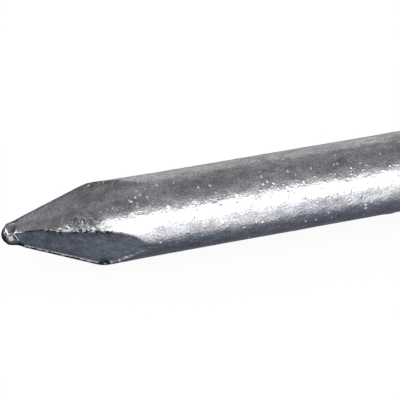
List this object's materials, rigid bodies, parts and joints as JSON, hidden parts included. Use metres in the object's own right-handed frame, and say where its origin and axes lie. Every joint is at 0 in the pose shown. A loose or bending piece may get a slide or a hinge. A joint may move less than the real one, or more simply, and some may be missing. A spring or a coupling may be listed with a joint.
{
  "type": "round wire nail",
  "caption": "Zinc-coated round wire nail with a flat chequered head and a four-sided diamond point that ends in a small zinc bead.",
  "frame": {"origin": "centre of the struck face of the head, which is where the hammer lands", "axes": "+X along the shank's axis, out of the struck face, so the tip is at -X; the point's four flats look along +Y, -Y, +Z and -Z"},
  "size_m": [0.0762, 0.008, 0.008],
  "materials": {
    "zinc_coated_steel": "drawn wire with a thin, slightly lumpy zinc coating, satin, bluish grey"
  },
  "bodies": {
    "root": {"nail": "zinc_coated_steel"}
  },
  "joints": []
}
